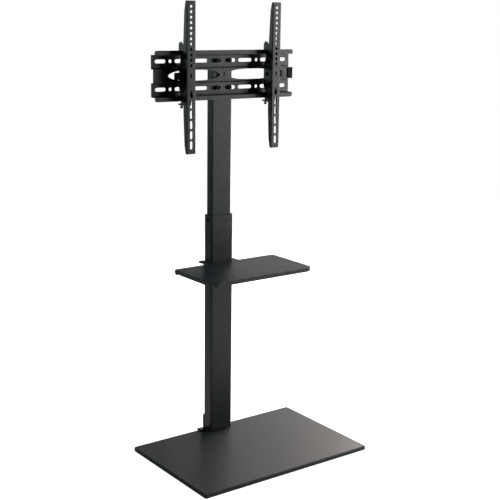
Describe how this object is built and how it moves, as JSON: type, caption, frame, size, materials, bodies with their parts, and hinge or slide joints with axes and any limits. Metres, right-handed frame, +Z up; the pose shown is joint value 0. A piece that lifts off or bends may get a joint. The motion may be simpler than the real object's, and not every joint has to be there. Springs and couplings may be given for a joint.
{
  "type": "tv stand with mount",
  "caption": "Floor stand for a television: flat steel base, telescopic column, sliding shelf and a slotted hook plate with two tilting arms.",
  "frame": {"origin": "on the floor under the middle of the stand's box", "axes": "+Z up, -Y towards the viewer of the television, +X to the right seen from the front"},
  "size_m": [0.6, 0.4084, 1.359],
  "materials": {
    "powder_coated_steel": "black powder coat with a fine sandy grain, satin",
    "black_screw_steel": "black oxidised screw steel, semi gloss",
    "zinc_plated_steel": "zinc plated",
    "black_plastic": "moulded black nylon, matte",
    "black_rubber": "matte"
  },
  "bodies": {
    "root": {"base_pan": "powder_coated_steel", "base_ballast_plate": "powder_coated_steel", "base_pad_front_left": "black_rubber", "base_pad_front_right": "black_rubber", "base_pad_rear_left": "black_rubber", "base_pad_rear_right": "black_rubber", "foot_bracket": "powder_coated_steel", "foot_bolt_left": "black_screw_steel", "foot_nut_left": "zinc_plated_steel", "foot_inner_bolt_left": "zinc_plated_steel", "foot_wall_bolt_left": "black_screw_steel", "foot_bolt_right": "black_screw_steel", "foot_nut_right": "zinc_plated_steel", "foot_inner_bolt_right": "zinc_plated_steel", "foot_wall_bolt_right": "black_screw_steel", "outer_tube": "powder_coated_steel", "guide_collar": "black_plastic", "height_lock_screw_left": "black_screw_steel", "height_lock_screw_right": "black_screw_steel"},
    "shelf": {"shelf_tray": "powder_coated_steel", "shelf_bracket": "powder_coated_steel", "shelf_clamp_bar": "powder_coated_steel", "shelf_clamp_screw_left": "black_screw_steel", "shelf_clamp_screw_right": "black_screw_steel", "shelf_nut_1": "zinc_plated_steel", "shelf_nut_2": "zinc_plated_steel", "shelf_nut_3": "zinc_plated_steel", "shelf_nut_4": "zinc_plated_steel"},
    "mast": {"inner_tube": "powder_coated_steel", "tube_shoe": "black_plastic", "tube_cap": "black_plastic", "nut_bar": "zinc_plated_steel", "plate_bolt_upper_left": "black_screw_steel", "plate_bolt_upper_right": "black_screw_steel", "plate_bolt_lower_left": "black_screw_steel", "plate_bolt_lower_right": "black_screw_steel", "hook_plate": "powder_coated_steel", "end_stop": "black_plastic"},
    "hook_left": {"hook_bracket_left": "powder_coated_steel", "pivot_bolt_left": "black_screw_steel", "guide_bolt_upper_left": "black_screw_steel", "guide_nut_upper_left": "zinc_plated_steel", "guide_bolt_lower_left": "black_screw_steel", "guide_nut_lower_left": "zinc_plated_steel"},
    "arm_body_left": {"arm_left": "powder_coated_steel"},
    "knob_left": {"tilt_knob_left": "black_plastic"},
    "lock_left": {"lock_screw_left": "black_screw_steel"},
    "hook_right": {"hook_bracket_right": "powder_coated_steel", "pivot_bolt_right": "black_screw_steel", "guide_bolt_upper_right": "black_screw_steel", "guide_nut_upper_right": "zinc_plated_steel", "guide_bolt_lower_right": "black_screw_steel", "guide_nut_lower_right": "zinc_plated_steel"},
    "arm_body_right": {"arm_right": "powder_coated_steel"},
    "knob_right": {"tilt_knob_right": "black_plastic"},
    "lock_right": {"lock_screw_right": "black_screw_steel"}
  },
  "joints": [
    {"name": "column_height", "type": "slide", "parent": "root", "child": "mast", "axis": [0, 0, 1], "range_m": [-0.2, 0.1]},
    {"name": "shelf_height", "type": "slide", "parent": "root", "child": "shelf", "axis": [0, 0, 1], "range_m": [-0.4, 0.11]},
    {"name": "bracket_slide_left", "type": "slide", "parent": "mast", "child": "hook_left", "axis": [1, 0, 0], "range_m": [-0.0525, 0.0475]},
    {"name": "tilt_left", "type": "hinge", "parent": "hook_left", "child": "arm_body_left", "pos_m": [-0.1491, 0.1268, 1.147], "axis": [1, 0, 0], "range_deg": [-5, 12]},
    {"name": "knob_turn_left", "type": "hinge", "parent": "hook_left", "child": "knob_left", "pos_m": [-0.1491, 0.1268, 1.147], "axis": [-1, 0, 0], "range_deg": [0, 180]},
    {"name": "lock_travel_left", "type": "slide", "parent": "hook_left", "child": "lock_left", "axis": [0, 0, 1], "range_m": [-0.016, 0]},
    {"name": "bracket_slide_right", "type": "slide", "parent": "mast", "child": "hook_right", "axis": [1, 0, 0], "range_m": [-0.0565, 0.0435]},
    {"name": "tilt_right", "type": "hinge", "parent": "hook_right", "child": "arm_body_right", "pos_m": [0.1567, 0.1268, 1.147], "axis": [1, 0, 0], "range_deg": [-5, 12]},
    {"name": "knob_turn_right", "type": "hinge", "parent": "hook_right", "child": "knob_right", "pos_m": [0.1567, 0.1268, 1.147], "axis": [1, 0, 0], "range_deg": [0, 180]},
    {"name": "lock_travel_right", "type": "slide", "parent": "hook_right", "child": "lock_right", "axis": [0, 0, 1], "range_m": [-0.016, 0]}
  ]
}
